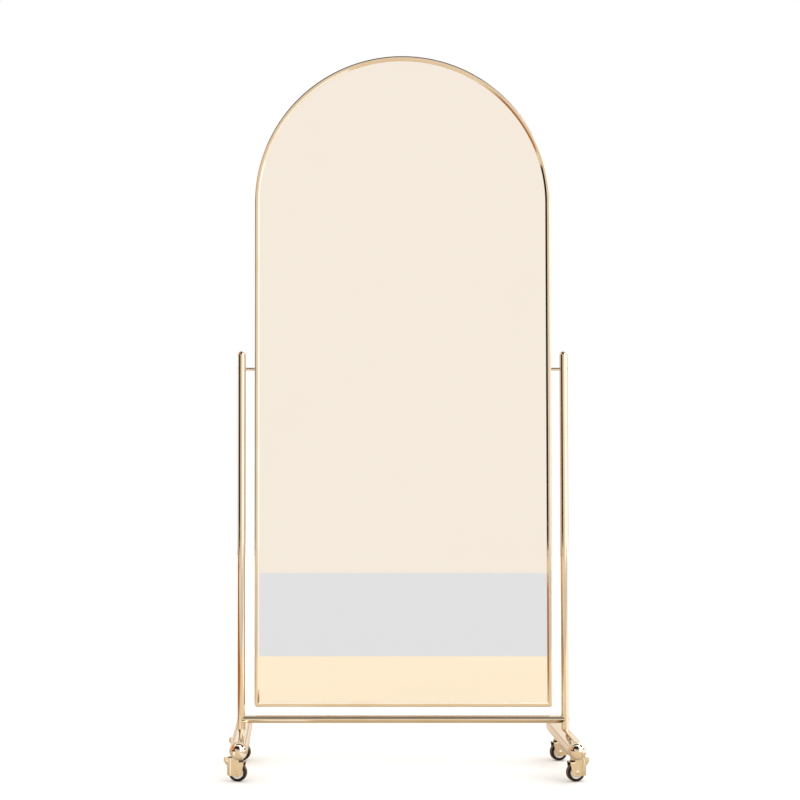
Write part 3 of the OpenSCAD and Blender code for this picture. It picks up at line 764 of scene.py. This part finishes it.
def hood_lower_edge(x, caster, axle_z, top):
    """Height of the hood's lower edge at x: a slanted line at the open end, a quarter round under
    the ear, and a straight line to the closed back."""
    ear_foot = axle_z - caster.ear
    slant = axle_z + (-caster.ear - x) / (caster.open_reach - caster.ear) * (
        top - caster.shoulder - axle_z)
    ear = axle_z - np.sqrt(np.maximum(caster.ear ** 2 - x ** 2, 0))
    back_x = caster.hood_back + caster.hood_radius
    line = ear_foot + x / back_x * (caster.back_edge - ear_foot)
    return np.select([x < -caster.ear, x < 0], [slant, ear], line)


def hood_stations(caster):
    """Stations along one side, round the closed back and along the other side: the place on the
    middle line, the outward direction, and whether the collar stands there. The collar's end is
    two stations at one place."""
    ear = -caster.ear * np.cos(np.linspace(0, math.pi / 2, 25))
    end = -caster.collar_reach
    slant = np.linspace(-caster.open_reach, -caster.ear, 9)[:-1]
    side = np.concatenate([slant, ear[ear < end], [end, end], ear[ear > end],
                           np.linspace(0, caster.hood_back, 10)[1:-1]])
    turn = np.linspace(-math.pi / 2, math.pi / 2, 49)
    spine = np.concatenate([side, np.full_like(turn, caster.hood_back), side[::-1]])
    out_x = np.concatenate([0 * side, np.cos(turn), 0 * side])
    out_y = np.concatenate([0 * side - 1, np.sin(turn), 0 * side + 1])
    raised = spine > end
    first = np.argmax(spine == end) + 1
    raised[[first, len(raised) - 1 - first]] = True
    return spine, out_x, out_y, raised


def hood_rims(caster, top, collar):
    """Two upper profiles with equally many points (distance from the middle line, height): the
    plain one rounds over to the deck, the raised one goes up and over the collar to the deck."""
    radius, sheet, edge = caster.hood_radius, caster.sheet, caster.shoulder
    rim_round, deck_round = 0.5 * sheet - 0.05 * MM, 0.6 * MM
    raised = rounded([
        (0, top - edge, 0), (radius, top - edge, 0), (radius, collar, rim_round),
        (radius - sheet, collar, rim_round), (radius - sheet, top, deck_round),
        (0, top, 0)], 6)[1:]
    t = np.linspace(0, math.pi / 2, len(raised) - 1)
    plain = np.stack([radius - edge + edge * np.cos(t), top - edge + edge * np.sin(t)], axis=-1)
    return np.concatenate([plain, [[0, top]]]), raised


def hood_can(caster, axle_z, top):
    """Pressed can: at each station a profile runs from the middle line under the deck, over the
    inner round, down to the lower edge, out through the sheet, up, and over the rim to the
    middle line."""
    spine, out_x, out_y, is_raised = hood_stations(caster)
    radius, sheet, edge = caster.hood_radius, caster.sheet, caster.shoulder
    fillet = np.radians(np.linspace(90, 0, 9))
    plain, raised = hood_rims(caster, top, caster.collar_top)
    inner = np.stack([radius - edge + (edge - sheet) * np.cos(fillet),
                      top - edge + (edge - sheet) * np.sin(fillet)], axis=-1)
    drop = np.linspace(1, 0, 14)[None, :]
    walls = []
    for r, shares in ((radius - sheet, drop[:, 1:]), (radius, drop[:, :0:-1])):
        foot = hood_lower_edge(spine + r * out_x, caster, axle_z, top)[:, None]
        height = foot + (top - edge - foot) * shares
        walls.append(np.stack([r + 0 * height, height], axis=-1))
    head = np.concatenate([[[0, top - sheet]], inner])
    head = np.broadcast_to(head, (len(spine), *head.shape))
    rim = np.where(is_raised[:, None, None], raised, plain)
    profile = np.concatenate([head, *walls, rim], axis=1)
    r, z = profile[..., 0], profile[..., 1]
    return np.stack([spine[:, None] + r * out_x[:, None], r * out_y[:, None], z], axis=-1)


def hood_heel(caster):
    """Solid flared heel: its section is carried round the closed back, its ends drawn in to the
    wall. Reach = wall + (section - wall) * blend, where blend eases to 0 towards both ends."""
    inner, proud = caster.hood_radius - 0.5 * caster.sheet, caster.hood_radius + 0.02 * MM
    flare, foot = caster.heel_radius, caster.heel_start - 1.5 * MM
    section = rounded([(inner, foot, 0), (proud, foot, 3 * MM), (flare, caster.heel_bend, 6 * MM),
                       (flare, caster.heel_top, 0.8 * MM), (inner, caster.heel_top, 0)], 9)
    blend_angle = math.radians(16)
    turn = np.linspace(-caster.heel_angle, caster.heel_angle, 57)[:, None]
    blend = np.clip((caster.heel_angle - np.abs(turn)) / blend_angle, 0, 1)
    blend = blend * blend * (3 - 2 * blend)
    wall = np.minimum(section[None, :, 0], proud)
    radius = wall + (section[None, :, 0] - wall) * blend
    height = section[None, :, 1] + 0 * turn
    return np.stack([caster.hood_back + radius * np.cos(turn), radius * np.sin(turn), height],
                    axis=-1)


class MIRROR_OT_caster_hoods(Operator):
    """Pressed hoods of the casters with their flared heels and axles"""

    bl_idname = "mirror.caster_hoods"
    bl_label = "Caster hoods"

    def execute(self, context):
        caster = context.scene.mirror_caster
        deck_gap = 0.1 * MM
        can = hood_can(caster, middle("axle_fl")[2], low("bearing_rings")[2] - deck_gap)
        heel = hood_heel(caster)
        for corner in CORNERS:
            shell = Shell().grid(seat_on_caster(caster, corner, can), capped=True)
            shell.grid(seat_on_caster(caster, corner, heel), wrap_columns=True, capped=True)
            shell.piece("hood_" + corner, "caster_" + corner, gold("z"), "caster_fork_" + corner,
                        "caster_gold", 40)
            self.axle(caster, corner)
        return {"FINISHED"}

    def axle(self, caster, corner):
        """Riveted axle: a pin with a domed head on each side."""
        node = "axle_" + corner
        head = extent(node)[2] / 2
        half = caster.hood_radius + 0.05 * MM
        shank = head * 0.66
        rise = 0.7 * MM
        t = np.linspace(0, math.pi / 2, 9)
        up = np.stack([head * np.cos(t), half + rise * np.sin(t) ** 0.8], axis=-1)
        outline = np.concatenate([[[0, -half - rise]], (up * [1, -1])[::-1][1:],
                                  [[shank, -half], [shank, half]], up])
        pin = turned(outline, middle(node), axle_direction(caster, corner), 48)
        closed_piece(pin, "axle_rivet_" + corner, gold("y"), node, "bright_rim",
                     "caster_" + corner)


class MIRROR_OT_caster_wheels(Operator):
    """Wheel cores and tyres"""

    bl_idname = "mirror.caster_wheels"
    bl_label = "Caster wheels"

    def execute(self, context):
        caster = context.scene.mirror_caster
        for corner in CORNERS:
            along = axle_direction(caster, corner)
            centre = middle("wheel_rim_" + corner)
            self.core(caster, corner, centre, along)
            self.tyre(caster, corner, centre, along)
        return {"FINISHED"}

    def core(self, caster, corner, centre, along):
        """Turned core: hub, recessed web and a flange under the tyre, the same on both sides."""
        rim = caster.rim_radius
        bore, hub, hub_half = 3.05 * MM, 6.5 * MM, 10.1 * MM
        face, web = 7.4 * MM, 5.6 * MM
        web_end, flange = rim - 2.6 * MM, rim - 1.8 * MM
        side = [(bore, hub_half, 0.3 * MM), (hub, hub_half, 0.5 * MM), (hub, web, 0.8 * MM),
                (web_end, web, 0.8 * MM), (flange, face, 0.3 * MM), (rim, face, 0.25 * MM)]
        other = [(r, -h, fillet) for r, h, fillet in side[::-1]]
        outline = rounded(side + other, 4)
        closed_piece(turned(outline, centre, along), "wheel_core_" + corner,
                     material("wheel_core", wheel_core), "wheel_rim_" + corner, "rim_white",
                     "wheel_" + corner)

    def tyre(self, caster, corner, centre, along):
        """Turned tyre: round shoulders, a parting line in the middle of the tread and a step
        beside the core."""
        node = "tyre_" + corner
        radius = extent(node)[2] / 2
        half = 8.0 * MM
        inner = caster.rim_radius + 0.05 * MM
        step, step_width = 0.4 * MM, 1.0 * MM
        line = 0.16 * MM
        side = [(inner, half - step, 0.2 * MM), (inner + step_width, half, 0.3 * MM),
                (radius, half, caster.tyre_round), (radius, line, 0),
                (radius - line, 0, 0)]
        other = [(r, -h, fillet) for r, h, fillet in side[-2::-1]]
        outline = rounded(side + other, 7)
        made = closed_piece(turned(outline, centre, along, 120), "tyre_ring_" + corner,
                            material("tyre_wall", tyre_rubber, "tyre"), node, "tyre",
                            "wheel_" + corner)
        faces = made.data.polygons
        middles = np.empty(len(faces) * 3)
        faces.foreach_get("center", middles)
        spoke = middles.reshape(-1, 3) - centre
        spoke -= (spoke @ along)[:, None] * along
        tread_start = radius - 0.15 * caster.tyre_round
        on_tread = np.linalg.norm(spoke, axis=1) > tread_start
        made.data.materials.append(material("tyre_tread", tyre_rubber, "tread"))
        faces.foreach_set("material_index", on_tread.astype(np.int32))


class MIRROR_OT_caster_stems(Operator):
    """Race cups with their stems, and the bearing rings under them"""

    bl_idname = "mirror.caster_stems"
    bl_label = "Caster stems"

    def execute(self, context):
        foot = high("bearing_rings")[2]
        under = low("foot_bar_left")[2]
        upright, taper = 0.42 * (under - foot), 0.3 * (under - foot)
        neck, rivet_height = 4.0 * MM, 1.2 * MM
        for corner in CORNERS:
            node = "caster_stem_" + corner
            start, end = low(node)[2], high(node)[2]
            cup = extent(node)[0] / 2
            rivet = cup * 0.46
            outline = rounded([
                (0, start, 0), (rivet, start, 0.5 * MM), (rivet, start + rivet_height, 0.2 * MM),
                (neck, start + rivet_height, 0), (neck, foot, 0),
                (cup, foot, 0.6 * MM), (cup, foot + upright, 0.9 * MM),
                (cup - taper, under, 0.3 * MM), (neck, under, 0),
                (neck, end, 0.8 * MM), (0, end, 0)], 5)
            closed_piece(turned(outline, stem_axis(corner), Z), "race_cup_" + corner,
                         gold("z"), node, "caster_gold")
        self.bearings("bearing_rings")
        return {"FINISHED"}

    def bearings(self, node):
        """Bearing ring under each cup, with its outer edges well rounded."""
        shell = Shell()
        radius = extent(node)[0] / 2 - abs(stem_axis("fl")[0])
        bore, half = 4.1 * MM, extent(node)[2] / 2
        outline = rounded([(bore, -half, 0.2 * MM), (radius, -half, 1.1 * MM),
                           (radius, half, 1.1 * MM), (bore, half, 0.2 * MM)], 5)
        for corner in CORNERS:
            centre = stem_axis(corner) + Z * middle(node)[2]
            shell.grid(turned(outline, centre, Z, 64), True, True)
        shell.piece("bearing_races", "stand", material("dull_black", dull_black), node,
                    "soft_black")


# Stage

BLACK = (0.020, 0.021, 0.023)
# The studio's panels: left and right edge by azimuth, where 0 is the front and 90 the right, lower
# and upper edge by height, the softness of the edges, all in degrees, and the tone. A later panel
# covers an earlier one.
PANELS = {
    "grey card in front": (-30, 30, 15, 40, 2, (0.50, 0.48, 0.43)),
    "low light on the right": (14, 200, -30, 12, 5, (1.55, 1.55, 1.55)),
    "tall light on the right": (26, 160, 10, 84, 5, (2.6, 2.6, 2.6)),
    "pale card behind": (-200, -95, -30, 12, 3, (0.93, 0.90, 0.90)),
    "tan card on the left": (-175, -84, 8, 50, 4, (0.70, 0.53, 0.36)),
    "orange card on the left": (-122, -70, 8, 42, 5, (0.95, 0.37, 0.12)),
    "low black card on the left": (-91, -36, -10, 9, 2, BLACK),
    "black strip on the left": (-66, -46, -12, 52, 2, BLACK),
    "black card high in front": (-68, 18, 29, 66, 2.5, BLACK),
    "black card high on the right": (64, 108, 38, 65, 1, BLACK),
    "low black card on the right": (78, 104, 8, 24, 1, BLACK),
}


def studio_world(context):
    """Studio as polished metal reflects it: a pale backdrop with a top light, the panels, and a
    screen behind the mirror. Rough surfaces are lit by one soft light, the sharp reflection in
    the glass sees the backdrop and top light alone, and the camera sees plain white."""
    world = bpy.data.worlds.new("studio")
    world.use_nodes = True
    context.scene.world = world
    graph = Graph(world.node_tree)
    ray = graph.node("ShaderNodeTexCoord")
    split = graph.node("ShaderNodeSeparateXYZ", Vector=graph.out(ray, "Generated"))
    path = graph.node("ShaderNodeLightPath")
    east, north, up = (graph.out(split, n) for n in range(3))
    azimuth = graph.math("ARCTAN2", east, -north) * math.degrees(1)
    height = graph.math("ARCSINE", up) * math.degrees(1)
    top_light, soft_light, white = (1.35, 1.34, 1.32), (1.30, 1.29, 1.28), (1.0, 1.0, 1.0)
    calm = graph.mix(graph.smooth(height, 40, 70), context.scene.mirror_studio.backdrop, top_light)
    layers = []
    for left, right, bottom, top, soft, tone in PANELS.values():
        across = graph.band(azimuth, (left - soft, left + soft), (right - soft, right + soft))
        upward = graph.band(height, (bottom - soft, bottom + soft), (top - soft, top + soft))
        layers.append((across * upward, tone))
    screen = graph.mix(graph.smooth(height, 1.5, 5), (0.74, 0.60, 0.48), (1.05, 0.97, 0.86))
    on_screen = graph.smooth(north, 0.35, 0.60) * graph.fade(height, 18, 30)
    layers += [(on_screen, screen), (graph.out(path, "Is Singular Ray"), calm),
               (graph.out(path, "Is Diffuse Ray"), soft_light),
               (graph.out(path, "Is Camera Ray"), white)]
    sky = graph.node("ShaderNodeBackground", Color=graph.layered(calm, layers), Strength=1.0)
    graph.node("ShaderNodeOutputWorld", Surface=graph.out(sky))


def flag_cloth(graph):
    """Dark grey cloth with a faint weave."""
    weave = graph.noise(graph.object_space(), 400.0, 2.0)
    cloth = graph.node("ShaderNodeBsdfDiffuse",
                       Color=graph.mix(weave, (0.07, 0.065, 0.06), (0.09, 0.085, 0.08)))
    graph.node("ShaderNodeOutputMaterial", Surface=graph.out(cloth))


def pale_floor(graph, studio):
    """Plain white floor. Polished metal reflects it in a warm tone, with painted shade and painted
    light laid on that tone: a painted shadow under the mirror, where the tone is deeper, painted
    shade in tan behind it, a pale patch of painted highlight inside the left foot bar, brown far to
    the left that is the wood's tone with painted shade, and pale to the right. Round the front
    casters lie a streak of painted light on the left and one of painted shade on the right, and
    outward of them painted shade on the left and painted light on the right. The glass reflects it
    calm and warm, and grey far in front. The zones' edges are in metres ahead of the mirror's
    middle and aside from it to the left; sweep is the angle round a front caster, from straight
    ahead to outwards."""
    place = graph.object_space()
    cloud = graph.noise(place, 1.3)
    pale, warm, grey = tuple(studio.floor), tuple(studio.floor_warm), tuple(studio.floor_grey)
    # Painted shade and light: the warm tone times 0.76 is painted shade, and the near white is a
    # painted highlight.
    painted_shade_warm, painted_highlight_white, tan = times(warm, 0.76), (1.0, 0.99, 0.96), (0.66, 0.55, 0.45)
    caster_aside, caster_ahead = 0.40, 0.165
    plain = graph.node("ShaderNodeBsdfDiffuse", Color=graph.mix(cloud, pale, times(pale, 0.985)))
    split = graph.node("ShaderNodeSeparateXYZ", Vector=place)
    path = graph.node("ShaderNodeLightPath")
    aside, ahead = -graph.out(split, 0), -graph.out(split, 1)
    from_caster = graph.math("ABSOLUTE", aside) - caster_aside
    sweep = graph.math("ARCTAN2", from_caster, ahead - caster_ahead) * math.degrees(1)
    left = graph.smooth(aside, -0.01, 0.01)
    close = graph.band(ahead, (0.18, 0.20), (0.60, 0.80))
    # Outward of the front casters: painted shade on the left, and painted light, the plain pale
    # floor, on the right.
    outside = graph.smooth(sweep, 60, 66) * close
    # Painted light and shade round the front casters: a white streak on the left paints the
    # highlight stripe on the left hoods, a streak of painted shade lies on the right.
    streak = graph.band(sweep, (34, 38), (60, 64)) * close
    # Painted shadow: the reflected floor is darker under the mirror and its front casters.
    under = graph.fade(ahead, 0.19, 0.24)
    # Painted highlight: a pale patch inside the left foot bar lights the crossbar's lower left end
    # and the left ball.
    patch = (graph.band(aside, (0.20, 0.24), (0.32, 0.36))
             * graph.band(ahead, (0.10, 0.14), (0.45, 0.55)))
    # Painted shade: the tan behind the mirror darkens the lower edges of the balls.
    behind = graph.fade(ahead, -0.60, -0.40)
    right = graph.fade(aside + ahead * 0.14, -0.68, -0.60)
    # Brown far to the left: the wood's tone with painted shade.
    far_left = (graph.smooth(aside, studio.brown_at - 0.35, studio.brown_at + 0.35)
                * graph.fade(ahead, 1.7, 2.1))
    far_ahead = (graph.smooth(ahead, studio.grey_at, studio.grey_at + 0.02)
                 * graph.fade(aside, 1.7, 1.9))
    calm = graph.mix(cloud, warm, times(warm, 0.95))
    mottled_grey = graph.mix(graph.noise(place, 60.0, 4.0, 0.7), grey, times(grey, 1.12))
    tone = graph.layered(calm, [
        (outside, graph.mix(left, pale, painted_shade_warm)), (streak, graph.mix(left, painted_shade_warm, painted_highlight_white)),
        (under, painted_shade_warm), (patch, pale), (behind, tan), (right, pale),
        (far_left, studio.floor_brown), (graph.out(path, "Is Singular Ray"), calm),
        (far_ahead, mottled_grey)])
    reflected = graph.node("ShaderNodeBsdfDiffuse", Color=tone)
    both = graph.node("ShaderNodeMixShader", i0=graph.out(path, "Is Glossy Ray"),
                      i1=graph.out(plain), i2=graph.out(reflected))
    graph.node("ShaderNodeOutputMaterial", Surface=graph.out(both))


def stage_piece(name, points, faces, finish):
    """A piece of the stage, which isn't part of the object."""
    mesh = bpy.data.meshes.new(name)
    mesh.from_pydata(points, [], faces)
    mesh.materials.append(finish)
    made = bpy.data.objects.new(name, mesh)
    bpy.context.scene.collection.objects.link(made)
    return made


class MIRROR_OT_stage(Operator):
    """Camera, pale floor, a dark flag and the studio's light"""

    bl_idname = "mirror.stage"
    bl_label = "Stage"

    def execute(self, context):
        studio = context.scene.mirror_studio
        self.floor(studio)
        self.flag()
        studio_world(context)
        self.camera(context, studio)
        context.scene.view_settings.view_transform = "Standard"
        context.scene.view_settings.look = "None"
        return {"FINISHED"}

    def floor(self, studio):
        """A flat grid round the mirror."""
        count = 5
        x = np.linspace(-studio.floor_side, studio.floor_side, count)
        y = np.linspace(-studio.floor_front, studio.floor_side, count)
        grid = np.stack([*np.meshgrid(x, y, indexing="ij"), np.zeros((count, count))], axis=-1)
        stage_piece("floor", grid.reshape(-1, 3).tolist(),
                    grid_faces(count, count, False, False).tolist(),
                    material("pale_floor", pale_floor, studio))

    def flag(self):
        """A dark flag above the mirror, out of the picture, seen only in reflections."""
        left, right, front, back, height = -1.1, 1.0, -0.35, 0.4, 1.95
        corners = [(left, front, height), (right, front, height), (right, back, height),
                   (left, back, height)]
        made = stage_piece("flag", corners, [(0, 1, 2, 3)], material("flag_cloth", flag_cloth))
        for ray in ("camera", "diffuse", "transmission", "volume_scatter", "shadow"):
            setattr(made, "visible_" + ray, False)

    def camera(self, context, studio):
        """A camera whose picture centre is shifted from the point it looks at, by pixel offsets
        over the picture's width."""
        data = bpy.data.cameras.new("camera")
        data.sensor_width = 36.0
        data.lens = studio.focal_px / studio.image_px * data.sensor_width
        data.shift_x = 0.5 - studio.principal_x / studio.image_px
        data.shift_y = studio.principal_y / studio.image_px - 0.5
        data.clip_end = 100.0
        made = bpy.data.objects.new("camera", data)
        made.location = Vector(studio.camera_at)
        made.rotation_euler = (math.pi / 2 + studio.pitch, 0.0, 0.0)
        context.scene.collection.objects.link(made)
        context.scene.camera = made


OPERATORS = (
    MIRROR_OT_stage,
    MIRROR_OT_frame_bar,
    MIRROR_OT_glass_and_back,
    MIRROR_OT_posts,
    MIRROR_OT_crossbar,
    MIRROR_OT_foot_bars,
    MIRROR_OT_caster_stems,
    MIRROR_OT_caster_hoods,
    MIRROR_OT_caster_wheels,
)


class MIRROR_PT_pieces(Panel):
    """Lists the settings and the operators that dress the mirror"""

    bl_idname = "MIRROR_PT_pieces"
    bl_label = "Floor mirror"
    bl_space_type = "VIEW_3D"
    bl_region_type = "UI"
    bl_category = "Floor Mirror"

    def draw(self, context):
        for operator in OPERATORS:
            self.layout.operator(operator.bl_idname)
        for name, group in SETTINGS.items():
            box = self.layout.box()
            box.label(text=group.__doc__)
            for key in group.__annotations__:
                box.prop(getattr(context.scene, name), key)


CLASSES = (*SETTINGS.values(), *OPERATORS, MIRROR_PT_pieces)


def register():
    for item in CLASSES:
        bpy.utils.register_class(item)
    for name, group in SETTINGS.items():
        setattr(bpy.types.Scene, name, PointerProperty(type=group))


def unregister():
    for name in SETTINGS:
        delattr(bpy.types.Scene, name)
    for item in reversed(CLASSES):
        bpy.utils.unregister_class(item)


def main():
    register()
    for operator in OPERATORS:
        family, action = operator.bl_idname.split(".")
        getattr(getattr(bpy.ops, family), action)()


if __name__ == "__main__":
    main()
